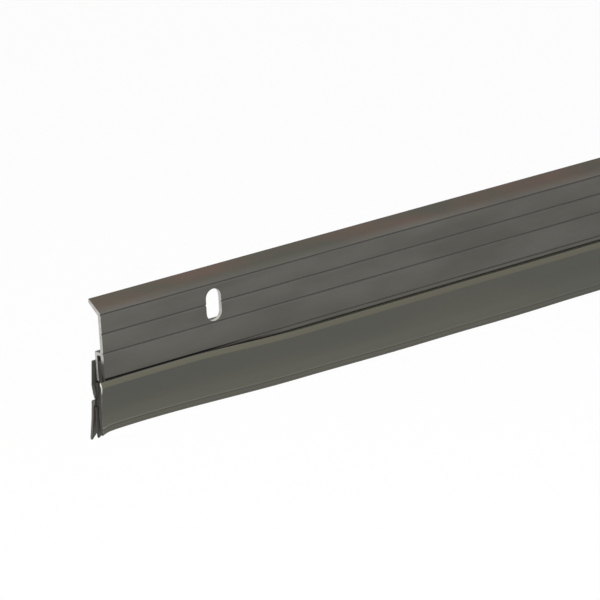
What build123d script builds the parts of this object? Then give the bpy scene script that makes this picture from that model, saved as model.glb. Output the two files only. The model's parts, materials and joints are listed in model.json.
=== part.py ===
from build123d import *
import os
from math import atan2, cos, degrees, radians, sin

os.makedirs("parts", exist_ok=True)

# A surface-mounted door sweep: a bronze aluminium carrier screwed to the face of a door, and a
# vinyl insert that slides into the channel on its back and hangs three sweep fins below it.
# Frame: +X along the sweep, +Y towards the door, +Z up. The origin is the middle of the lip's
# rear edge, which lies flat on the door.
#
# Every cross-section point is given by its depth behind the carrier's front face and by its drop
# below the first groove. All sizes are in mm and all angles in degrees.

# Carrier
length = 914.4              # for a 36 inch door
lip_reach = 6.3             # front face back to the face of the door
lip_rise = 4.6              # first groove up to the top of the lip
lip_wall = 1.3
web_wall = 1.6
web_drop = 22.75            # first groove down to the foot of the web
groove_pitch = 6.47
groove_count = 3
groove_width = 0.8
groove_depth = 0.35
low_groove_rise = 1.35      # foot of the web up to the lowest groove
low_groove_depth = 0.3
corner = 0.35               # small rounded corners of both extrusions

# Screw slots
slot_count = 5
slot_width = 6.1
slot_height = 10.8
slot_end = 44.5             # end of the carrier to the centre of the first slot
slot_clear = 0.4            # foot of a slot up from the top of the channel

# Channel on the back of the carrier
channel_height = 9.9
channel_gap = 1.9           # clear width inside
channel_wall = 1.2
foot_step = 0.15            # the channel stops this much above the foot of the web
hook_reach = 0.6
hook_wall = 1.1

# Vinyl insert
slide_gap = 0.15            # insert to carrier, all round
stand_out = 1.1             # how far the insert stands out of the carrier's left end
tongue_room = 1.9           # empty channel above the tongue
shoulder_gap = 0.25         # shoulder to the front face, and web foot to the body
shoulder_rise = 1.05        # top of the shoulder above the body
shoulder_wall = 0.25
face_depth = -1.35          # front of the insert just below the shoulder
face_step = 0.85            # that edge below the top of the body
face_lean = 9.0
ledge_step = 3.9            # top of the body down to the ledge that holds the door flap
notch_step = 1.4            # ledge down to the notch behind the body
arm_fall = 1.0              # slope of the rear arm, notch to its outer edge
rear_step = 7.45            # top of the body down to the rear fin's root
fin_step = 10.6             # top of the body down to the front and middle fins' roots

# Leaves, each on a round root bead in a groove of the insert
bead_radius = 0.38
bead_gap = 0.06
bead_mouth = 0.12           # depth of a bead's centre inside the groove's mouth
bead_wall = 0.28            # vinyl left beside a groove
neck_wall = 0.4
swing = 42.0                # furthest lean of a leaf from plumb, for the room at its root
swing_gap = 0.1
front_wall = 1.4
front_lean = 6.5
front_blade = 4.3           # root to the crease above the tip
front_tip = 1.45            # crease to the centre of the rounded edge
front_tip_lean = 22.0
middle_gap = 2.4            # front root to middle root
middle_wall = 1.2
middle_lean = 5.5
middle_blade = 6.5
rear_gap = 2.4              # middle root to rear root
rear_wall = 1.5
rear_lean = 5.5
rear_blade = 5.1            # root to where the rear fin leans further back
rear_tip = 5.4
rear_tip_lean = 11.0
flap_gap = 0.5              # door flap to the back of the channel
flap_wall = 0.8
flap_inset = 0.3            # flap root inside the back of the channel
flap_bulge = 2.9            # root up to where the flap turns parallel to the door
flap_blade = 7.9

# Carrier levels and depths
lip_slope = degrees(atan2(lip_rise, lip_reach))
lip_edge = lip_wall / cos(radians(lip_slope))
groove_z = lip_edge / 2 - lip_rise
channel_foot = web_drop - foot_step
channel_top = channel_foot - channel_height
hook_top = channel_foot - hook_wall
channel_inner = web_wall + channel_gap
channel_back = channel_inner + channel_wall
hook_tip = channel_inner - hook_reach
slot_drop = channel_top - slot_clear - slot_height / 2
slot_pitch = (length - 2 * slot_end) / (slot_count - 1)

# Insert levels and depths
socket_radius = bead_radius + bead_gap
tongue_front = web_wall + slide_gap
tongue_rear = channel_inner - slide_gap
neck_rear = hook_tip - slide_gap
tongue_top = channel_top + channel_wall + tongue_room
tongue_foot = hook_top - slide_gap
body_top = web_drop + shoulder_gap
shoulder_top = body_top - shoulder_rise
face_top = body_top + face_step
fin_root = body_top + fin_step
fin_mouth = fin_root + bead_mouth
rear_root = body_top + rear_step
rear_mouth = rear_root + bead_mouth
ledge_top = body_top + ledge_step
flap_root = ledge_top + bead_mouth
trunk_front = face_depth + (fin_mouth - face_top) * sin(radians(face_lean)) / cos(radians(face_lean))
front_depth = trunk_front + front_wall / 2
middle_depth = front_depth + middle_gap
trunk_rear = middle_depth + socket_radius + bead_wall
rear_depth = middle_depth + rear_gap
arm_rear = rear_depth + rear_wall / 2
flap_depth = channel_back - flap_inset
body_rear = flap_depth - socket_radius - bead_wall
ledge_rear = flap_depth + socket_radius + bead_wall
flap_centre = channel_back + flap_gap + flap_wall / 2

carrier_plane = Plane.YZ
insert_plane = Plane.YZ.offset(-stand_out)


def at(depth, drop):
    """Cross-section point at a depth behind the front face and a drop below the first groove."""
    return (depth - lip_reach, groove_z - drop)


def outline(*points):
    """Closed face through the given depths and drops."""
    with BuildLine() as edge:
        Polyline(*[at(depth, drop) for depth, drop in points], close=True)
    make_face(edge.edges())


def round_off(section, radius, *points):
    """Round the section's corners at the given depths and drops."""
    for depth, drop in points:
        corner_point = Vertex(*at(depth, drop))
        fillet(section.vertices().sort_by_distance(corner_point)[0], radius)


def run(start, lean, distance):
    """Point a distance along a leaf from start, at a lean from straight down towards the door."""
    return (start[0] + distance * sin(radians(lean)), start[1] - distance * cos(radians(lean)))


def root_room(wall):
    """Distance from a root to the round top of its blade that lets the leaf swing freely."""
    return (wall / 2 + bead_mouth + swing_gap) / cos(radians(swing))


def strip(wall, *points):
    """Strip of an even wall along the points, with round ends."""
    with BuildLine() as edge:
        Polyline(*points)
        offset(amount=wall / 2)
    make_face(edge.edges())


def leaf(wall, root, *blade):
    """Cross-section of one leaf: root bead, thin neck and blade."""
    with Locations(root):
        Circle(bead_radius)
    strip(neck_wall, root, blade[0])
    strip(wall, *blade)


# Carrier: lip, grooved web and rear channel in one extrusion, cut by the screw slots
with BuildPart() as carrier:
    with BuildSketch(carrier_plane) as carrier_section:
        outline(
            (0, 0),
            (lip_reach, -lip_rise),
            (lip_reach, -lip_rise + lip_edge),
            (web_wall, lip_edge - lip_rise * web_wall / lip_reach),
            (web_wall, channel_top),
            (channel_back, channel_top),
            (channel_back, channel_foot),
            (hook_tip, channel_foot),
            (hook_tip, hook_top),
            (channel_inner, hook_top),
            (channel_inner, channel_top + channel_wall),
            (web_wall, channel_top + channel_wall),
            (web_wall, web_drop),
            (0, web_drop),
        )
        round_off(
            carrier_section.sketch,
            corner,
            (web_wall, lip_edge - lip_rise * web_wall / lip_reach),
            (channel_back, channel_top),
            (channel_inner, channel_top + channel_wall),
            (web_wall, channel_top + channel_wall),
            (channel_back, channel_foot),
            (0, web_drop),
        )
        grooves = [(groove_pitch * count, groove_depth) for count in range(groove_count)]
        grooves.append((web_drop - low_groove_rise, low_groove_depth))
        for drop, depth in grooves:
            with BuildLine():
                Polyline(
                    at(-depth, drop - groove_width),
                    at(depth, drop),
                    at(-depth, drop + groove_width),
                    close=True,
                )
            make_face(mode=Mode.SUBTRACT)
    extrude(amount=length / 2, both=True)
    slot_y, slot_z = at(0, slot_drop)
    with BuildSketch(Plane.XZ.offset(-slot_y)):
        with Locations((0, slot_z)):
            with GridLocations(slot_pitch, 0, slot_count, 1):
                SlotOverall(slot_height, slot_width, rotation=90)
    extrude(amount=-web_wall, mode=Mode.SUBTRACT)
carrier.part.label = "carrier"
export_step(carrier.part, "parts/carrier.step")

# Insert spine: tongue in the channel, body under the web, shoulder in front of it, and the
# grooves that the four leaves are rooted in
with BuildPart() as insert_spine:
    with BuildSketch(insert_plane) as spine_section:
        outline(
            (tongue_front, tongue_top),
            (tongue_rear, tongue_top),
            (tongue_rear, tongue_foot),
            (neck_rear, tongue_foot),
            (neck_rear, body_top),
            (body_rear, body_top),
            (body_rear, ledge_top),
            (ledge_rear, ledge_top),
            (flap_depth, ledge_top + notch_step),
            (arm_rear, ledge_top + notch_step + arm_fall),
            (arm_rear, rear_mouth),
            (trunk_rear, rear_mouth),
            (trunk_rear, fin_mouth),
            (trunk_front, fin_mouth),
            (face_depth, face_top),
            (-shoulder_gap - shoulder_wall, shoulder_top),
            (-shoulder_gap, shoulder_top),
            (-shoulder_gap, body_top),
            (tongue_front, body_top),
        )
        round_off(
            spine_section.sketch,
            corner,
            (tongue_front, tongue_top),
            (tongue_rear, tongue_top),
            (face_depth, face_top),
        )
        sockets = (
            at(front_depth, fin_root),
            at(middle_depth, fin_root),
            at(rear_depth, rear_root),
            at(flap_depth, flap_root),
        )
        with Locations(*sockets):
            Circle(socket_radius, mode=Mode.SUBTRACT)
    extrude(amount=length / 2, both=True)
insert_spine.part.label = "insert_spine"
export_step(insert_spine.part, "parts/insert_spine.step")

# Front fin: the long face of the insert below its crease-lined tip
with BuildPart() as front_fin:
    with BuildSketch(insert_plane):
        root = at(front_depth, fin_root)
        crease = run(root, front_lean, front_blade)
        leaf(
            front_wall,
            root,
            run(root, front_lean, root_room(front_wall)),
            crease,
            run(crease, front_tip_lean, front_tip),
        )
    extrude(amount=length / 2, both=True)
front_fin.part.label = "front_fin"
export_step(front_fin.part, "parts/front_fin.step")

# Middle fin: a straight leaf close behind the front one
with BuildPart() as middle_fin:
    with BuildSketch(insert_plane):
        root = at(middle_depth, fin_root)
        leaf(
            middle_wall,
            root,
            run(root, middle_lean, root_room(middle_wall)),
            run(root, middle_lean, middle_blade),
        )
    extrude(amount=length / 2, both=True)
middle_fin.part.label = "middle_fin"
export_step(middle_fin.part, "parts/middle_fin.step")

# Rear fin: the thickest and lowest leaf, which stands under the door
with BuildPart() as rear_fin:
    with BuildSketch(insert_plane):
        root = at(rear_depth, rear_root)
        bend = run(root, rear_lean, rear_blade)
        leaf(
            rear_wall,
            root,
            run(root, rear_lean, root_room(rear_wall)),
            bend,
            run(bend, rear_tip_lean, rear_tip),
        )
    extrude(amount=length / 2, both=True)
rear_fin.part.label = "rear_fin"
export_step(rear_fin.part, "parts/rear_fin.step")

# Door flap: the leaf that rises behind the channel and is pressed by the face of the door
with BuildPart() as door_flap:
    with BuildSketch(insert_plane):
        root = at(flap_depth, flap_root)
        bulge = at(flap_centre, flap_root - flap_bulge)
        flap_lean = degrees(atan2(bulge[0] - root[0], root[1] - bulge[1]))
        leaf(
            flap_wall,
            root,
            run(root, flap_lean, root_room(flap_wall)),
            bulge,
            at(flap_centre, flap_root - flap_bulge - flap_blade),
        )
    extrude(amount=length / 2, both=True)
door_flap.part.label = "door_flap"
export_step(door_flap.part, "parts/door_flap.step")
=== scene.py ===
import json
from math import atan2, cos, pi, radians, sin

import bmesh
import bpy
import numpy as np
from mathutils import Matrix, Vector


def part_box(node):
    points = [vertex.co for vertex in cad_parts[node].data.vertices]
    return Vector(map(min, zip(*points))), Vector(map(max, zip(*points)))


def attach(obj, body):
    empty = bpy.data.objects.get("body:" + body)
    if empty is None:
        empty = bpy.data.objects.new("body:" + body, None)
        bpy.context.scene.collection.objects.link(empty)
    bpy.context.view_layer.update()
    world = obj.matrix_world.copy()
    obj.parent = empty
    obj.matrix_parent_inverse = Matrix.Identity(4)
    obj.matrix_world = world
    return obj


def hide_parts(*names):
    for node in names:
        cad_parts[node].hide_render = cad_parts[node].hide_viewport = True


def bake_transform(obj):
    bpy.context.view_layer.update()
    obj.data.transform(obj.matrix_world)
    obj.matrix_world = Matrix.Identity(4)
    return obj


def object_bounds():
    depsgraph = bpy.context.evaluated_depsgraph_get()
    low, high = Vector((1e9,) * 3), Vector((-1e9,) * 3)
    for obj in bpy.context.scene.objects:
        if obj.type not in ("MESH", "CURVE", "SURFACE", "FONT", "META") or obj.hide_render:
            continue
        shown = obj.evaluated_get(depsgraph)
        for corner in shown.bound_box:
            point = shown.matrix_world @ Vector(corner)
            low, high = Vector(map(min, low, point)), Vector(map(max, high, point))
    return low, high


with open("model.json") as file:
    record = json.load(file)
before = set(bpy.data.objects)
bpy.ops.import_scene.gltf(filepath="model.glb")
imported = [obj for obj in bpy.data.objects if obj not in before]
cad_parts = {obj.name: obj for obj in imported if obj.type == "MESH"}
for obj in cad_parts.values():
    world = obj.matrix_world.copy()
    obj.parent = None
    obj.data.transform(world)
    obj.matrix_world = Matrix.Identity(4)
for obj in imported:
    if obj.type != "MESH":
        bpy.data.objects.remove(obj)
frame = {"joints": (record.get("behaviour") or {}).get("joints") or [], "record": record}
cad_low, cad_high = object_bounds()

MM = 0.001

# Places read from the frame, in metres
carrier_low, carrier_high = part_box("carrier")
insert_low, insert_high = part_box("insert_spine")
flap_low, flap_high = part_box("door_flap")
left_end = carrier_low.x
front_y = carrier_low.y
roots = {joint["child"]: joint["pos_m"] for joint in frame["joints"] if joint["type"] == "hinge"}
slots = [mount for mount in frame["record"]["mounts"] if mount["name"].startswith("screw_slot")]

lip_rise = 4.6
groove_z = carrier_high.z - lip_rise * MM


# Places across the sweep are given in mm as a depth behind the web's front face and a drop below its first
# groove, which is where the lip starts. Places along it are given in mm from its left end.

def depth_of(y):
    """Depth of a place in the frame."""
    return (y - front_y) / MM


def drop_of(z):
    """Drop of a place in the frame."""
    return (groove_z - z) / MM


def y_at(depth):
    """Place in the frame of a depth."""
    return front_y + depth * MM


def z_at(drop):
    """Place in the frame of a drop."""
    return groove_z - drop * MM


def x_at(along):
    """Place in the frame of a distance along the carrier."""
    return left_end + along * MM


# Carrier sizes, mm
length = (carrier_high.x - carrier_low.x) / MM
web_wall = 1.6
web_drop = drop_of(carrier_low.z)
lip_reach = depth_of(carrier_high.y)
lip_edge = 2 * carrier_high.z / MM  # the lip's rear edge stands half above z = 0, half below
groove_pitch = 6.47
groove_half = 0.45
groove_depth = 0.38
low_groove_half = 0.38
low_groove_depth = 0.3
low_groove_drop = web_drop - 1.35
groove_drops = (0, groove_pitch, 2 * groove_pitch, low_groove_drop)
slot_width = 6.1
slot_height = 10.8
channel_wall = 1.2
channel_back = 4.7
channel_inner = channel_back - channel_wall
channel_top = web_drop - 10.05
channel_foot = web_drop - 0.15
hook_tip = 2.9
hook_top = channel_foot - 1.1

# Insert sizes, mm: a root is the depth and drop that a leaf bends about
fit_gap = 0.15
body_top = web_drop + 0.25
body_rear = 3.7
tongue_front = web_wall + fit_gap
tongue_rear = channel_inner - fit_gap
tongue_top = drop_of(insert_high.z)
tongue_foot = hook_top - fit_gap
neck_rear = hook_tip - fit_gap
front_root, middle_root, rear_root, flap_root = (
    (depth_of(roots[leaf][1]), drop_of(roots[leaf][2]))
    for leaf in ("front_fin", "middle_fin", "rear_fin", "door_flap"))
front_foot, middle_foot, rear_foot = (
    drop_of(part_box(leaf)[0].z) for leaf in ("front_fin", "middle_fin", "rear_fin"))
flap_top = drop_of(flap_high.z)
front_wall, middle_wall, rear_wall, flap_wall = 1.4, 1.1, 1.4, 0.8

# The shoulder stands proud of the web, and the front face leans back below it
shoulder_top = body_top - 1.05
face_depth = -1.35
face_top = body_top + 0.85
face_lean = 0.158
fin_lean = -0.04
crotch = front_root[1] - 0.2
crease = front_root[1] + 3.85

# Where the core ends and each inner leaf starts
middle_front, middle_back = middle_root[0] - middle_wall / 2, middle_root[0] + middle_wall / 2
middle_start = middle_root[1] - 2.6
rear_start = rear_root[1] + 0.12
rear_back = rear_root[0] + rear_wall / 2
arm_front, arm_top = flap_root[0] - 0.2, flap_root[1] + 1.35


# ---------------------------------------------------------------- camera and stage

def place_camera():
    """Long lens, looking down a little at the left end of the sweep, and turned a few degrees."""
    azimuth, elevation, roll = radians(37.44), radians(17.18), radians(3.25)
    distance, aside, raised = 1.3068, 0.06305, 0.00135
    right = Vector((cos(azimuth), -sin(azimuth), 0))
    ahead = Vector((sin(azimuth) * cos(elevation), cos(azimuth) * cos(elevation), -sin(elevation)))
    up = right.cross(ahead)
    aim = Vector((left_end, front_y, groove_z)) + aside * right + raised * up
    across = cos(roll) * right - sin(roll) * up
    above = sin(roll) * right + cos(roll) * up
    turned = Matrix((across, above, -ahead)).transposed().to_4x4()
    data = bpy.data.cameras.new("camera")
    data.lens = 248.8
    data.sensor_width = 36
    camera = bpy.data.objects.new("camera", data)
    camera.matrix_world = Matrix.Translation(aim - distance * ahead) @ turned
    bpy.context.collection.objects.link(camera)
    bpy.context.scene.camera = camera


def add_light(name, place, target, size, power):
    """Soft rectangular light at a place, turned towards its target."""
    data = bpy.data.lights.new(name, "AREA")
    data.shape = "RECTANGLE"
    data.size, data.size_y = size
    data.energy = power
    light = bpy.data.objects.new(name, data)
    light.location = place
    light.rotation_euler = (Vector(target) - Vector(place)).to_track_quat("-Z", "Y").to_euler()
    light.visible_camera = False
    bpy.context.collection.objects.link(light)


def build_stage():
    """Pale floor well below the sweep, white surroundings and two soft lights above its front."""
    half = 20.0
    floor_z = cad_low.z - 1.0
    mesh = bpy.data.meshes.new("floor")
    corners = [(x, y, floor_z) for x, y in ((-half, -half), (half, -half), (half, half), (-half, half))]
    mesh.from_pydata(corners, [], [(0, 1, 2, 3)])
    floor = bpy.data.objects.new("floor", mesh)
    bpy.context.collection.objects.link(floor)
    mesh.materials.append(painted_floor())
    world = bpy.data.worlds.new("studio")
    world.use_nodes = True
    surroundings = world.node_tree.nodes["Background"]
    surroundings.inputs["Color"].default_value = (1, 1, 1, 1)
    surroundings.inputs["Strength"].default_value = 0.97
    bpy.context.scene.world = world
    bpy.context.scene.view_settings.view_transform = "Standard"
    add_light("key_light", (-0.66, -0.44, 0.51), (-0.5, 0, 0), (0.5, 0.3), 7.2)
    add_light("far_light", (0.4, -0.62, 0.72), (0.4, 0, 0), (0.6, 0.3), 1.0)


# ---------------------------------------------------------------- materials

def linear(code):
    """Linear colour from an sRGB hex code."""
    shares = [int(code[start:start + 2], 16) / 255 for start in (1, 3, 5)]
    return tuple(c / 12.92 if c <= 0.04045 else ((c + 0.055) / 1.055) ** 2.4 for c in shares) + (1.0,)


def scale_for(size_mm):
    """Noise scale that gives features of that size in mm."""
    return 1 / (size_mm * MM)


def add(tree, kind, inputs=(), **settings):
    """Adds one node with its settings. Each input is a value, or another node's output to link."""
    made = tree.nodes.new(kind)
    for name, value in settings.items():
        setattr(made, name, value)
    for name, value in dict(inputs).items():
        if isinstance(value, bpy.types.NodeSocket):
            tree.links.new(value, made.inputs[name])
        else:
            made.inputs[name].default_value = value
    return made


def new_material(name):
    """Empty node material: its tree, its shader, and the object coordinates that its patterns use."""
    made = bpy.data.materials.new(name)
    made.use_nodes = True
    tree = made.node_tree
    place = add(tree, "ShaderNodeTexCoord").outputs["Object"]
    return made, tree, tree.nodes["Principled BSDF"], place


def painted_floor():
    """Matte white paint, rolled: even and bright, so that it stays out of the way."""
    made = bpy.data.materials.new("matte_white_paint")
    made.use_nodes = True
    shader = made.node_tree.nodes["Principled BSDF"]
    shader.inputs["Base Color"].default_value = linear("#ffffff")
    shader.inputs["Roughness"].default_value = 0.9
    return made


def bronze_anodised_aluminium():
    """Extruded aluminium, dark bronze anodised: satin, with faint die lines along it, a warmer, blotchy lip
    darkened further as painted shade, and near-black painted shade on its foot where the shoulder still
    presses on it."""
    made, tree, shader, place = new_material("bronze_anodised_aluminium")
    # The real grit and die lines are too fine to show: these are as coarse as they need to be
    blotch_mm, die_line_mm, grit_mm = 10.0, 0.5, 0.35
    stretched = add(tree, "ShaderNodeMapping", {"Vector": place, "Scale": (0.3, 1, 1)})
    blotches = add(tree, "ShaderNodeTexNoise", {
        "Vector": stretched.outputs[0], "Scale": scale_for(blotch_mm), "Detail": 4.0})
    grit = add(tree, "ShaderNodeTexNoise", {"Vector": place, "Scale": scale_for(grit_mm), "Detail": 2.0})
    along = add(tree, "ShaderNodeMapping", {"Vector": place, "Scale": (0.006, 1, 1)})
    die_lines = add(tree, "ShaderNodeTexNoise", {
        "Vector": along.outputs[0], "Scale": scale_for(die_line_mm), "Detail": 3.0})
    position = add(tree, "ShaderNodeSeparateXYZ", {"Vector": place})
    patches = add(tree, "ShaderNodeMapRange", {
        "Value": blotches.outputs["Fac"], "From Min": 0.36, "From Max": 0.64})
    on_shaded_lip = add(tree, "ShaderNodeMapRange", {
        "Value": position.outputs["Z"], "From Min": z_at(-0.2), "From Max": z_at(-2.2)})
    web_colour = add(tree, "ShaderNodeMix", {
        "Factor": patches.outputs[0], "A": linear("#464540"), "B": linear("#3d3c36")}, data_type="RGBA")
    # The lip is browner and blotchy, and also darker as painted shade, for the light it would otherwise take
    # more of than the web.
    lip_tone_and_shade = add(tree, "ShaderNodeMix", {
        "Factor": patches.outputs[0], "A": linear("#41332a"), "B": linear("#333229")}, data_type="RGBA")
    body_colour = add(tree, "ShaderNodeMix", {
        "Factor": on_shaded_lip.outputs[0], "A": web_colour.outputs["Result"],
        "B": lip_tone_and_shade.outputs["Result"]}, data_type="RGBA")
    # Painted shade: the web's foot turns near black under the shoulder near the left end, where the shoulder
    # hides it.
    under_shoulder = add(tree, "ShaderNodeMapRange", {
        "Value": position.outputs["Z"], "From Min": z_at(21.4), "From Max": z_at(21.9)})
    near_left = add(tree, "ShaderNodeMapRange", {
        "Value": position.outputs["X"], "From Min": x_at(72), "From Max": x_at(58)})
    shoulder_shade = add(tree, "ShaderNodeMath", {
        0: under_shoulder.outputs[0], 1: near_left.outputs[0]}, operation="MULTIPLY")
    shaded_foot_colour = add(tree, "ShaderNodeMix", {
        "Factor": shoulder_shade.outputs[0], "A": body_colour.outputs["Result"],
        "B": linear("#080807")}, data_type="RGBA")
    specks = add(tree, "ShaderNodeMapRange", {"Value": grit.outputs["Fac"], "To Min": 0.88, "To Max": 1.12})
    coloured = add(tree, "ShaderNodeHueSaturation", {
        "Color": shaded_foot_colour.outputs["Result"], "Value": specks.outputs[0]})
    gloss = add(tree, "ShaderNodeMapRange", {"Value": blotches.outputs["Fac"], "To Min": 0.5, "To Max": 0.62})
    lines = add(tree, "ShaderNodeBump", {
        "Height": die_lines.outputs["Fac"], "Strength": 0.25, "Distance": 0.02 * MM})
    tree.links.new(coloured.outputs[0], shader.inputs["Base Color"])
    tree.links.new(gloss.outputs[0], shader.inputs["Roughness"])
    tree.links.new(lines.outputs[0], shader.inputs["Normal"])
    shader.inputs["Metallic"].default_value = 0.3
    return made


def shaded_groove():
    """Painted shade in the bottom of a drawn groove and on the screw slots' rims: the same anodising, darker
    and duller, in patches.
    """
    made, tree, shader, place = new_material("anodised_groove_painted_shade")
    shade_patch_mm = 3.0
    along = add(tree, "ShaderNodeMapping", {"Vector": place, "Scale": (0.2, 1, 1)})
    shade_patches = add(tree, "ShaderNodeTexNoise", {
        "Vector": along.outputs[0], "Scale": scale_for(shade_patch_mm), "Detail": 2.0})
    # Painted shade: the grooves and the slots' rims are given this darker colour.
    colour = add(tree, "ShaderNodeMix", {
        "Factor": shade_patches.outputs["Fac"], "A": linear("#403f3a"), "B": linear("#343330")}, data_type="RGBA")
    tree.links.new(colour.outputs["Result"], shader.inputs["Base Color"])
    shader.inputs["Metallic"].default_value = 0.2
    shader.inputs["Roughness"].default_value = 0.75
    return made


def shaded_low_groove():
    """The lowest groove: near-black painted shade where the shoulder still presses on it near the left end,
    and the grooves' painted shade further along.
    """
    made, tree, shader, place = new_material("shaded_low_groove")
    shade_patch_mm = 3.0
    along = add(tree, "ShaderNodeMapping", {"Vector": place, "Scale": (0.2, 1, 1)})
    shade_patches = add(tree, "ShaderNodeTexNoise", {
        "Vector": along.outputs[0], "Scale": scale_for(shade_patch_mm), "Detail": 2.0})
    groove_shade = add(tree, "ShaderNodeMix", {
        "Factor": shade_patches.outputs["Fac"], "A": linear("#42403b"), "B": linear("#363531")}, data_type="RGBA")
    position = add(tree, "ShaderNodeSeparateXYZ", {"Vector": place})
    past_shaded_end = add(tree, "ShaderNodeMapRange", {
        "Value": position.outputs["X"], "From Min": x_at(42), "From Max": x_at(60)})
    # Painted shade: near black by the left end, fading to the grooves' painted shade between 42 and 60 mm.
    colour = add(tree, "ShaderNodeMix", {
        "Factor": past_shaded_end.outputs[0], "A": linear("#060606"),
        "B": groove_shade.outputs["Result"]}, data_type="RGBA")
    tree.links.new(colour.outputs["Result"], shader.inputs["Base Color"])
    shader.inputs["Roughness"].default_value = 0.85
    shader.inputs["Specular IOR Level"].default_value = 0.15
    return made


def sawn_aluminium():
    """Bare aluminium where the saw and the punch went through: pale grey with fine scratches across the cut,
    and darker brown-grey low in the web's cut face."""
    made, tree, shader, place = new_material("sawn_aluminium")
    # A saw's scratches are finer than this, and wouldn't show
    scratch_mm, tone_mm = 0.12, 1.1
    across = add(tree, "ShaderNodeMapping", {"Vector": place, "Scale": (1, 1, 0.12)})
    scratches = add(tree, "ShaderNodeTexNoise", {
        "Vector": across.outputs[0], "Scale": scale_for(scratch_mm), "Detail": 2.0})
    tones = add(tree, "ShaderNodeTexNoise", {"Vector": place, "Scale": scale_for(tone_mm), "Detail": 3.0})
    colour = add(tree, "ShaderNodeMix", {
        "Factor": tones.outputs["Fac"], "A": linear("#cfcdc7"), "B": linear("#94928b")}, data_type="RGBA")
    position = add(tree, "ShaderNodeSeparateXYZ", {"Vector": place})
    # Darker brown-grey in the web's cut face, below a drop of about 15 mm.
    low = add(tree, "ShaderNodeMapRange", {
        "Value": position.outputs["Z"], "From Min": z_at(14.5), "From Max": z_at(16.5)})
    in_web = add(tree, "ShaderNodeMapRange", {
        "Value": position.outputs["Y"], "From Min": y_at(web_wall + 0.2), "From Max": y_at(web_wall)})
    low_web_mask = add(tree, "ShaderNodeMath", {0: low.outputs[0], 1: in_web.outputs[0]}, operation="MULTIPLY")
    darker_low = add(tree, "ShaderNodeMix", {
        "Factor": low_web_mask.outputs[0], "A": colour.outputs["Result"], "B": linear("#4a4641")}, data_type="RGBA")
    lines = add(tree, "ShaderNodeBump", {
        "Height": scratches.outputs["Fac"], "Strength": 0.4, "Distance": 0.02 * MM})
    tree.links.new(darker_low.outputs["Result"], shader.inputs["Base Color"])
    tree.links.new(lines.outputs[0], shader.inputs["Normal"])
    shader.inputs["Metallic"].default_value = 0.9
    shader.inputs["Roughness"].default_value = 0.38
    return made


def extruded_vinyl():
    """Flexible PVC, extruded: dull olive brown, cloudy along its length, and paler towards the lower edge as
    painted light.
    """
    made, tree, shader, place = new_material("extruded_vinyl")
    # The real grain and draw lines are too fine to show: these are as coarse as they need to be
    cloud_mm, grain_mm, draw_line_mm = 30.0, 0.3, 0.6
    stretched = add(tree, "ShaderNodeMapping", {"Vector": place, "Scale": (0.3, 1, 1)})
    clouds = add(tree, "ShaderNodeTexNoise", {
        "Vector": stretched.outputs[0], "Scale": scale_for(cloud_mm), "Detail": 3.0})
    patches = add(tree, "ShaderNodeMapRange", {
        "Value": clouds.outputs["Fac"], "From Min": 0.36, "From Max": 0.64})
    grain = add(tree, "ShaderNodeTexNoise", {"Vector": place, "Scale": scale_for(grain_mm), "Detail": 3.0})
    along = add(tree, "ShaderNodeMapping", {"Vector": place, "Scale": (0.008, 1, 1)})
    draw_lines = add(tree, "ShaderNodeTexNoise", {
        "Vector": along.outputs[0], "Scale": scale_for(draw_line_mm), "Detail": 2.0})
    colour = add(tree, "ShaderNodeMix", {
        "Factor": patches.outputs[0], "A": linear("#35342b"), "B": linear("#2f302a")}, data_type="RGBA")
    specks = add(tree, "ShaderNodeMapRange", {"Value": grain.outputs["Fac"], "To Min": 0.92, "To Max": 1.08})
    position = add(tree, "ShaderNodeSeparateXYZ", {"Vector": place})
    # Painted light: the lower face is made up to 22% paler, as if it caught more light.
    low_painted_light = add(tree, "ShaderNodeMapRange", {
        "Value": position.outputs["Z"], "From Min": z_at(30), "From Max": z_at(36),
        "To Min": 1.0, "To Max": 1.22})
    tone = add(tree, "ShaderNodeMath", {0: specks.outputs[0], 1: low_painted_light.outputs[0]}, operation="MULTIPLY")
    coloured = add(tree, "ShaderNodeHueSaturation", {
        "Color": colour.outputs["Result"], "Value": tone.outputs[0]})
    skin = add(tree, "ShaderNodeMath", {
        0: grain.outputs["Fac"], 1: draw_lines.outputs["Fac"]}, operation="ADD")
    lines = add(tree, "ShaderNodeBump", {"Height": skin.outputs[0], "Strength": 0.3, "Distance": 0.02 * MM})
    tree.links.new(coloured.outputs[0], shader.inputs["Base Color"])
    tree.links.new(lines.outputs[0], shader.inputs["Normal"])
    shader.inputs["Roughness"].default_value = 0.55
    shader.inputs["IOR"].default_value = 1.5
    return made


def lit_shoulder_vinyl():
    """The same vinyl on the shoulder's slope, made paler as painted light where it faces up, cloudy along it,
    with fine lines along it.
    """
    made, tree, shader, place = new_material("lit_shoulder_vinyl")
    # The fine lines are drawn wider than real ones, which wouldn't show
    shoulder_cloud_mm, fine_line_mm = 18.0, 0.35
    stretched = add(tree, "ShaderNodeMapping", {"Vector": place, "Scale": (0.3, 1, 1)})
    shoulder_clouds = add(tree, "ShaderNodeTexNoise", {
        "Vector": stretched.outputs[0], "Scale": scale_for(shoulder_cloud_mm), "Detail": 3.0})
    along = add(tree, "ShaderNodeMapping", {"Vector": place, "Scale": (0.01, 1, 1)})
    fine_lines = add(tree, "ShaderNodeTexNoise", {
        "Vector": along.outputs[0], "Scale": scale_for(fine_line_mm), "Detail": 2.0})
    # Painted light: paler than the rest of the vinyl, where the slope faces up.
    colour = add(tree, "ShaderNodeMix", {
        "Factor": shoulder_clouds.outputs["Fac"], "A": linear("#413e31"), "B": linear("#38362a")}, data_type="RGBA")
    lines = add(tree, "ShaderNodeBump", {
        "Height": fine_lines.outputs["Fac"], "Strength": 0.4, "Distance": 0.02 * MM})
    tree.links.new(colour.outputs["Result"], shader.inputs["Base Color"])
    tree.links.new(lines.outputs[0], shader.inputs["Normal"])
    shader.inputs["Roughness"].default_value = 0.45
    return made


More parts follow.
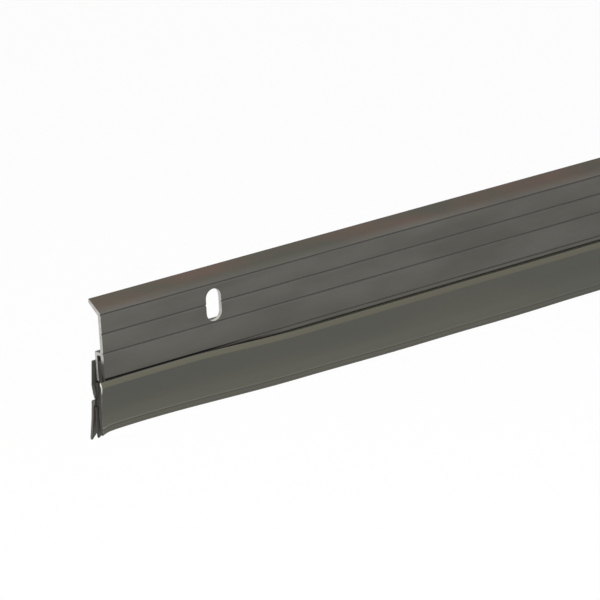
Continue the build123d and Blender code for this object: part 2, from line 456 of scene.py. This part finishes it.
def cut_vinyl(name, pale, deep):
    """Vinyl where the blade cut it: the same compound, rougher than the extruded skin and dragged in
    streaks."""
    made, tree, shader, place = new_material(name)
    drag_mm = 0.25
    along_cut = add(tree, "ShaderNodeMapping", {"Vector": place, "Scale": (1, 1, 0.2)})
    drag = add(tree, "ShaderNodeTexNoise", {
        "Vector": along_cut.outputs[0], "Scale": scale_for(drag_mm), "Detail": 3.0})
    colour = add(tree, "ShaderNodeMix", {
        "Factor": drag.outputs["Fac"], "A": linear(pale), "B": linear(deep)}, data_type="RGBA")
    lines = add(tree, "ShaderNodeBump", {
        "Height": drag.outputs["Fac"], "Strength": 0.5, "Distance": 0.04 * MM})
    tree.links.new(colour.outputs["Result"], shader.inputs["Base Color"])
    tree.links.new(lines.outputs[0], shader.inputs["Normal"])
    shader.inputs["Roughness"].default_value = 0.7
    return made


def highlighted_vinyl_rim():
    """The rim of a cut through vinyl: a painted highlight, pale where it would catch the light, palest at the
    shoulder, with dark streaks."""
    made, tree, shader, place = new_material("vinyl_rim_painted_highlight")
    streak_mm = 0.8
    streaks = add(tree, "ShaderNodeTexNoise", {
        "Vector": place, "Scale": scale_for(streak_mm), "Detail": 2.0})
    position = add(tree, "ShaderNodeSeparateXYZ", {"Vector": place})
    at_shoulder = add(tree, "ShaderNodeMapRange", {
        "Value": position.outputs["Z"], "From Min": z_at(body_top + 2.8), "From Max": z_at(body_top + 1.0)})
    # Painted highlight: the rim is pale, near white at the shoulder.
    rim_highlight = add(tree, "ShaderNodeMix", {
        "Factor": at_shoulder.outputs[0], "A": linear("#54524a"), "B": linear("#d8d4c2")}, data_type="RGBA")
    colour = add(tree, "ShaderNodeMix", {
        "Factor": streaks.outputs["Fac"], "A": rim_highlight.outputs["Result"],
        "B": linear("#2c2a24")}, data_type="RGBA")
    tree.links.new(colour.outputs["Result"], shader.inputs["Base Color"])
    shader.inputs["Roughness"].default_value = 0.5
    return made


# ---------------------------------------------------------------- extruded shapes

def rounded(corners, step=radians(15)):
    """Closed outline through the corners (depth, drop, radius), each turned into an arc where it has a
    radius."""
    nearly_straight = radians(89)
    most_of_side = 0.49
    points = []
    for index, (depth, drop, radius) in enumerate(corners):
        here = np.array((depth, drop))
        before = np.array(corners[index - 1][:2]) - here
        after = np.array(corners[(index + 1) % len(corners)][:2]) - here
        before_length, after_length = np.linalg.norm(before), np.linalg.norm(after)
        before, after = before / before_length, after / after_length
        half = np.arccos(np.clip(before @ after, -1, 1)) / 2
        if radius <= 0 or half > nearly_straight:
            points.append(here)
            continue
        back = min(radius / np.tan(half), most_of_side * before_length, most_of_side * after_length)
        radius = back * np.tan(half)
        centre = here + (before + after) / np.linalg.norm(before + after) * radius / np.sin(half)
        first, last = here + before * back - centre, here + after * back - centre
        turn = atan2(first[0] * last[1] - first[1] * last[0], first @ last)
        count = max(2, int(abs(turn) / step) + 1)
        for angle in np.linspace(0, turn, count + 1):
            points.append(centre + (first[0] * cos(angle) - first[1] * sin(angle),
                                    first[0] * sin(angle) + first[1] * cos(angle)))
    return np.array(points)


def divided(outline, longest):
    """The outline with every side longer than that split evenly."""
    points = []
    for here, there in zip(outline, np.roll(outline, -1, axis=0)):
        count = max(1, int(np.ceil(np.linalg.norm(there - here) / longest)))
        points += [here + (there - here) * share / count for share in range(count)]
    return np.array(points)


def inset(outline, distance):
    """The outline moved inwards by a small distance."""
    side = np.roll(outline, -1, axis=0) - np.roll(outline, 1, axis=0)
    side /= np.linalg.norm(side, axis=1)[:, None] + 1e-9
    depth, drop = outline[:, 0], outline[:, 1]
    area = np.sum(depth * np.roll(drop, -1) - np.roll(depth, -1) * drop)
    inward = np.stack((-side[:, 1], side[:, 0]), axis=1) * np.sign(area)
    return outline + inward * distance


def extrude(name, outline, start, stations, rim, shape=None):
    """Mesh of an outline drawn along the sweep from start, with ends softened by the rim.

    Stations are distances along it in mm. shape(along, depth, drop) returns the bent place of each point."""
    rings = [(stations[0], inset(outline, rim)), (stations[0] + rim, outline)]
    rings += [(along, outline) for along in stations[1:-1]]
    rings += [(stations[-1] - rim, outline), (stations[-1], inset(outline, rim))]
    vertices = []
    for along, ring in rings:
        depth, drop = ring[:, 0], ring[:, 1]
        place = np.full(len(ring), along)
        if shape:
            place, depth, drop = shape(along, depth, drop)
        vertices += list(zip(start + place * MM, y_at(depth), z_at(drop)))
    size = len(outline)
    faces = [tuple(range(size)), tuple(range((len(rings) - 1) * size, len(rings) * size))]
    for this in range(0, (len(rings) - 1) * size, size):
        following = this + size
        for point in range(size):
            after = (point + 1) % size
            faces.append((this + point, this + after, following + after, following + point))
    mesh = bpy.data.meshes.new(name)
    mesh.from_pydata(vertices, [], faces)
    turned_out = bmesh.new()
    turned_out.from_mesh(mesh)
    bmesh.ops.recalc_face_normals(turned_out, faces=turned_out.faces)
    turned_out.to_mesh(mesh)
    turned_out.free()
    made = bpy.data.objects.new(name, mesh)
    bpy.context.collection.objects.link(made)
    return made


def smooth(made, sharp):
    """Smooth shading with the edges above that many degrees kept crisp."""
    made.data.polygons.foreach_set("use_smooth", [True] * len(made.data.polygons))
    made.data.set_sharp_from_angle(angle=radians(sharp))


def finish_ends(made, skin, cut, rim):
    """Gives the piece its skin, and its two cut ends the look of the cut, with a rim of their own if there is
    one. They take the first three material slots."""
    cut_slot, rim_slot = 1, 2
    for material in (skin, cut, rim or cut):
        made.data.materials.append(material)
    for face in made.data.polygons:
        facing_end = abs(face.normal.x)
        if facing_end > 0.95:
            face.material_index = cut_slot
        elif rim and facing_end > 0.35:
            face.material_index = rim_slot


# ---------------------------------------------------------------- carrier

def carrier_outline():
    """Lip, grooved web and hooked channel. Each corner is a depth, a drop and a radius."""
    def groove(drop, half=groove_half, depth=groove_depth):
        return [(0, drop + half, 0.16), (depth, drop, 0.06), (0, drop - half, 0.1)]

    lip_under = lip_edge - lip_rise * web_wall / lip_reach
    corners = [
        (lip_reach, -lip_rise, 0.3),
        (lip_reach, lip_edge - lip_rise, 0.2),
        (web_wall, lip_under, 0.5),
        (web_wall, channel_top, 0.25),
        (channel_back, channel_top, 0.35),
        (channel_back, channel_foot, 0.35),
        (hook_tip, channel_foot, 0.2),
        (hook_tip, hook_top, 0.15),
        (channel_inner, hook_top, 0.15),
        (channel_inner, channel_top + channel_wall, 0.5),
        (web_wall, channel_top + channel_wall, 0.35),
        (web_wall, web_drop, 0.25),
        (0, web_drop, 0.35),
    ]
    corners += groove(low_groove_drop, low_groove_half, low_groove_depth)
    for count in (2, 1, 0):
        corners += groove(groove_pitch * count)
    return rounded(corners)


def slot_cutters():
    """One mesh of upright round-ended prisms, one through the web at each screw slot."""
    mesh = bpy.data.meshes.new("slot_cutters")
    cutters = bmesh.new()
    radius, straight = slot_width / 2 * MM, (slot_height - slot_width) / 2 * MM
    reach = 3 * MM
    arc = 20
    for slot in slots:
        x, y, z = slot["pos_m"]
        rim = []
        for turn in range(2 * arc + 2):
            angle = pi * (turn - (turn > arc)) / arc
            middle = z + straight if turn <= arc else z - straight
            rim.append(cutters.verts.new((x + radius * cos(angle), y - reach, middle + radius * sin(angle))))
        lid = cutters.faces.new(rim)
        drawn = bmesh.ops.extrude_face_region(cutters, geom=[lid])
        moved = [part for part in drawn["geom"] if isinstance(part, bmesh.types.BMVert)]
        bmesh.ops.translate(cutters, verts=moved, vec=(0, 2 * reach, 0))
    bmesh.ops.recalc_face_normals(cutters, faces=cutters.faces)
    cutters.to_mesh(mesh)
    cutters.free()
    made = bpy.data.objects.new("slot_cutters", mesh)
    bpy.context.collection.objects.link(made)
    return made


def finish_slots_and_grooves(made):
    """Bare metal inside the screw slots, painted shade on their rims and in the grooves, and darker painted
    shade in the lowest groove near the left end."""
    skin_slot, cut_slot, shaded_groove_slot, shaded_low_groove_slot = 0, 1, 3, 4
    around = 0.25
    made.data.materials.append(shaded_groove())
    made.data.materials.append(shaded_low_groove())
    for face in made.data.polygons:
        depth, drop = depth_of(face.center.y), drop_of(face.center.z)
        facing_end, facing_front = abs(face.normal.x), abs(face.normal.y)
        in_slot = any(abs(face.center.x - slot["pos_m"][0]) < (slot_width / 2 + around) * MM
                      and abs(face.center.z - slot["pos_m"][2]) < (slot_height / 2 + around) * MM
                      for slot in slots)
        in_groove = any(abs(drop - level) < groove_half for level in groove_drops)
        if in_slot and 0.1 < depth < web_wall - 0.1 and facing_front < 0.3:
            face.material_index = cut_slot
        # The slots' rims take the grooves' painted shade.
        elif in_slot and 0.2 < facing_front < 0.98 and face.material_index == skin_slot:
            face.material_index = shaded_groove_slot
        if in_groove and 0.05 < depth < 0.5 and facing_end < 0.5 and face.material_index == skin_slot:
            face.material_index = shaded_low_groove_slot if drop > 3 * groove_pitch else shaded_groove_slot


def build_carrier():
    """The aluminium strip, sawn square at both ends and punched for the screws."""
    stations = np.linspace(0, length, 25)
    sawn_rim = 0.08
    made = extrude("carrier_strip", carrier_outline(), left_end, stations, sawn_rim)
    cutters = slot_cutters()
    punch = made.modifiers.new("punch", "BOOLEAN")
    punch.object = cutters
    punch.solver = "EXACT"
    edge = made.modifiers.new("edge", "BEVEL")
    edge.width = 0.2 * MM
    edge.segments = 2
    edge.limit_method = "ANGLE"
    edge.angle_limit = radians(75)
    bpy.context.view_layer.update()
    punched = made.evaluated_get(bpy.context.evaluated_depsgraph_get())
    mesh = bpy.data.meshes.new_from_object(punched)
    made.modifiers.clear()
    made.data = mesh
    bpy.data.objects.remove(cutters)
    finish_ends(made, bronze_anodised_aluminium(), sawn_aluminium(), None)
    finish_slots_and_grooves(made)
    smooth(made, 35)
    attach(made, "carrier")
    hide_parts("carrier")


# ---------------------------------------------------------------- vinyl insert: how it hangs

def ease(low, high, value):
    """0 below low, 1 above high, and a smooth rise between."""
    share = np.clip((value - low) / (high - low), 0, 1)
    return share * share * (3 - 2 * share)


def near_end(along, reach):
    """1 at the left end of the insert, falling to 0 at that distance from it."""
    return max(0, 1 - along / reach)


def slack(along):
    """Slow wander of the soft insert along its length, between about -1 and 1."""
    return 0.6 * sin(along / 61 + 0.7) + 0.4 * sin(along / 143 + 2.1)


def shoulder_sag(along):
    """How far the shoulder has crept down below the web's foot, mm: it still rides high near its left end."""
    end = 0.2 * near_end(along, 20) ** 2
    late = 0.1 * ease(150, 190, along) + 0.12 * slack(along) * ease(200, 260, along)
    return -0.45 + 1.6 * ease(32, 82, along) + end + late


def edge_sag(along):
    """How far the front leaf's lower edge hangs below its drawn line, mm."""
    ends = 0.9 * near_end(along, 3.5) ** 2 + 0.3 * near_end(along, 14) ** 2
    dip = 0.2 * (ease(145, 168, along) - ease(176, 200, along))
    late = 0.15 * slack(along) * ease(200, 260, along)
    return -1.08 + 1.42 * ease(15, 78, along) + 0.45 * ease(78, 130, along) + ends + dip + late


def front_hang(top, foot):
    """Shape of the front leaf: shoulder and lower edge each wander, and the left end is cut askew."""
    def shape(along, depth, drop):
        share = np.clip((drop - top) / (foot - top), 0, 1)
        lowered = drop + shoulder_sag(along) * (1 - share) + edge_sag(along) * share
        swayed = depth + share ** 2 * (0.2 * slack(along) - 0.7 * ease(30, 120, along))
        return along - near_end(along, 6) * (1.45 - 0.35 * share), swayed, lowered
    return shape


def hang(top, foot, sway, droop, askew, lift=0, curl=0):
    """Shape of an inner leaf: fixed at its root, wandering and drooping towards its free edge.

    askew is how far its left end stands out at the root, and how much more at the free edge. lift is how far
    the free edge is drawn up behind the front leaf, where that one is drawn up. curl is how far the left
    end's free corner turns forwards. All are in mm."""
    def shape(along, depth, drop):
        share = np.clip((drop - top) / (foot - top), 0, 1)
        ends = near_end(along, 2.5) ** 2 + 0.6 * near_end(length - along, 22) ** 2
        drawn_up = lift * ease(0, 2.5, along) * (1 - ease(30, 95, along))
        lowered = drop + share * (droop * ends + 0.2 * slack(along + 40) - drawn_up)
        swayed = depth + share ** 2 * (sway * slack(along + 40 * top) - curl * near_end(along, 5))
        return along - near_end(along, 6) * (askew[0] + askew[1] * share), swayed, lowered
    return shape


def short_tongue(along, depth, drop):
    """Shape of the core: its tongue was trimmed back flush with the channel, its body was not."""
    trimmed = 1.12 * near_end(along, 6) * (1 - ease(body_top - 0.6, body_top - 0.1, drop))
    return along + trimmed, depth, drop


def soft_stations():
    """Distances along the insert, close together near the ends and about 7 mm apart elsewhere."""
    near = np.array((0, 0.5, 1, 1.7, 2.5, 4.5, 7, 10, 14, 18, 23, 28, 34))
    middle = np.linspace(40, length - 40, 118)
    return np.concatenate((near, middle, length - near[::-1]))


# ---------------------------------------------------------------- vinyl insert: its pieces

def face_at(drop):
    """Depth of the front face: it leans back as far as the crotch, and a little forwards below it."""
    return face_depth + face_lean * (min(drop, crotch) - face_top) + fin_lean * max(0, drop - crotch)


def back_at(drop):
    """Depth of the front leaf's back: the leaf thins below the crotch."""
    return face_at(drop) + front_wall - 0.025 * max(0, drop - crotch)


def core_outline():
    """Tongue in the channel, neck through its mouth, body below, and the arm that carries the rear leaves."""
    return [
        (tongue_front, tongue_top, 0.5),
        (tongue_rear, tongue_top, 0.5),
        (tongue_rear, tongue_foot, 0.12),
        (neck_rear, tongue_foot, 0.1),
        (neck_rear, body_top, 0.2),
        (body_rear, body_top, 0.15),
        (body_rear, arm_top, 0),
        (arm_front, arm_top, 0),
        (arm_front, rear_start, 0),
        (middle_back, rear_start, 0),
        (middle_back, middle_start, 0),
        (middle_front, middle_start, 0),
        (middle_front, crotch, 0.25),
        (back_at(crotch), crotch, 0.25),
        (back_at(body_top), body_top, 0),
        (tongue_front, body_top, 0.1),
    ]


def front_outline():
    """Shoulder, front face, and the tip below its crease."""
    tip = face_at(crease)
    return [
        (-0.25, body_top, 0),
        (-0.25, shoulder_top + 0.5, 0.1),
        (-0.52, shoulder_top, 0.12),
        (-0.72, shoulder_top + 0.14, 0.16),
        (face_depth, face_top, 0.3),
        (face_at(crotch), crotch, 6.0),
        (tip, crease - 0.35, 0.1),
        (tip - 0.3, crease, 0.06),
        (tip + 0.12, crease + 0.2, 0.06),
        (tip + 0.05, front_foot - 0.9, 0.05),
        (tip + 0.25, front_foot - 0.78, 0.05),
        (tip + 0.1, front_foot - 0.6, 0.05),
        (tip + 0.45, front_foot, 0.4),
        (tip + 1.5, front_foot - 0.1, 0.5),
        (back_at(crease) + 0.05, crease, 0.8),
        (back_at(crotch), crotch, 6.0),
        (back_at(body_top), body_top, 0),
    ]


def middle_outline():
    """Thinner leaf behind the front one, its foot turned back a little."""
    return [
        (middle_front, middle_start, 0),
        (middle_back, middle_start, 0),
        (middle_back, middle_root[1], 0.5),
        (middle_back + 0.62, middle_foot, 0.55),
        (middle_back - 0.58, middle_foot, 0.55),
        (middle_front, middle_root[1], 0.5),
    ]


def rear_outline():
    """Thick lowest leaf, which steps out backwards under the door."""
    rear_front = rear_back - rear_wall
    step = rear_root[1] + 4.6
    return [
        (arm_front, arm_top, 0),
        (rear_back - 0.1, arm_top + 1.0, 0.35),
        (rear_back + 0.05, rear_root[1] + 0.8, 1.0),
        (rear_back + 0.45, step, 2.0),
        (rear_back + 1.6, rear_foot, 0.7),
        (rear_back + 0.1, rear_foot, 0.7),
        (rear_front + 0.42, step, 2.0),
        (rear_front, rear_root[1] + 1.1, 0.6),
        (rear_front - 0.35, rear_start, 0.3),
        (arm_front, rear_start, 0),
    ]


def flap_outline():
    """Leaf that rises behind the channel, to be pressed by the door."""
    flap_back = depth_of(flap_high.y)
    flap_front = flap_back - flap_wall
    return [
        (body_rear, flap_root[1] - 0.1, 0),
        (flap_root[0] - 0.15, flap_root[1] - 0.9, 0.4),
        (flap_front, flap_root[1] - 3.1, 2.0),
        (flap_front, flap_top, 0.35),
        (flap_back, flap_top, 0.35),
        (flap_back, flap_root[1] - 3.0, 2.0),
        (flap_root[0] + 0.75, flap_root[1] - 0.3, 1.0),
        (flap_root[0], arm_top, 0.1),
        (body_rear, arm_top, 0),
    ]


def build_leaf(name, node, corners, shape, rim_width, cut, rim):
    """One soft piece of the insert, extruded along it and bent to its shape."""
    longest_side = 1.2
    outline = divided(rounded(corners, radians(20)), longest_side)
    made = extrude(name, outline, insert_low.x, soft_stations(), rim_width, shape)
    finish_ends(made, vinyl, cut, rim)
    if node == "front_fin":
        finish_shoulder(made, outline)
    smooth(made, 50)
    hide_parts(node)
    return made


def finish_shoulder(made, outline):
    """Gives the slope at the top of the front leaf, and the bend below it, the paler vinyl that paints light
    on them.
    """
    skin_slot, lit_shoulder_slot = 0, 3
    made.data.materials.append(vinyl_shoulder_light)
    band = [-1.4 < depth < -0.5 and body_top - 1.1 < drop < face_top for depth, drop in outline]
    for face in made.data.polygons:
        if face.material_index == skin_slot and all(band[vertex % len(outline)] for vertex in face.vertices):
            face.material_index = lit_shoulder_slot


def build_insert():
    """The vinyl extrusion: a core in the channel and four leaves that bend away from it."""
    core_piece = build_leaf("vinyl_core", "insert_spine", core_outline(), short_tongue,
                            0.12, vinyl_cut, vinyl_cut)
    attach(core_piece, "insert")
    front_shape = front_hang(body_top, front_foot)
    middle_shape = hang(middle_root[1], middle_foot, 0.15, 0.3, (0.9, 0.05), 1.5, 0.6)
    rear_shape = hang(rear_root[1], rear_foot, 0.3, 1.1, (0.5, 0.35), 1.2)
    flap_shape = hang(flap_root[1], flap_top, 0.1, 0.0, (0.55, -0.9))
    leaves = (
        ("front_leaf", "front_fin", front_outline(), front_shape, 0.25, vinyl_cut, vinyl_rim_highlight),
        ("middle_leaf", "middle_fin", middle_outline(), middle_shape, 0.12, vinyl_cut, shaded_cut_edge),
        ("rear_leaf", "rear_fin", rear_outline(), rear_shape, 0.2, fresh_cut, shaded_cut_edge),
        ("flap_leaf", "door_flap", flap_outline(), flap_shape, 0.2, fresh_cut, shaded_cut_edge),
    )
    for name, body, corners, shape, rim_width, cut, rim in leaves:
        piece = build_leaf(name, body, corners, shape, rim_width, cut, rim)
        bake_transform(piece)


place_camera()
build_stage()
vinyl = extruded_vinyl()
vinyl_cut = cut_vinyl("cut_vinyl", "#2f2e28", "#181714")
fresh_cut = cut_vinyl("freshly_cut_vinyl", "#625f54", "#35342d")
# Painted shade: near-black rims on the cut ends of the middle, rear and flap leaves.
shaded_cut_edge = cut_vinyl("cut_edge_painted_shade", "#100f0d", "#080807")
vinyl_rim_highlight = highlighted_vinyl_rim()
vinyl_shoulder_light = lit_shoulder_vinyl()
build_carrier()
build_insert()
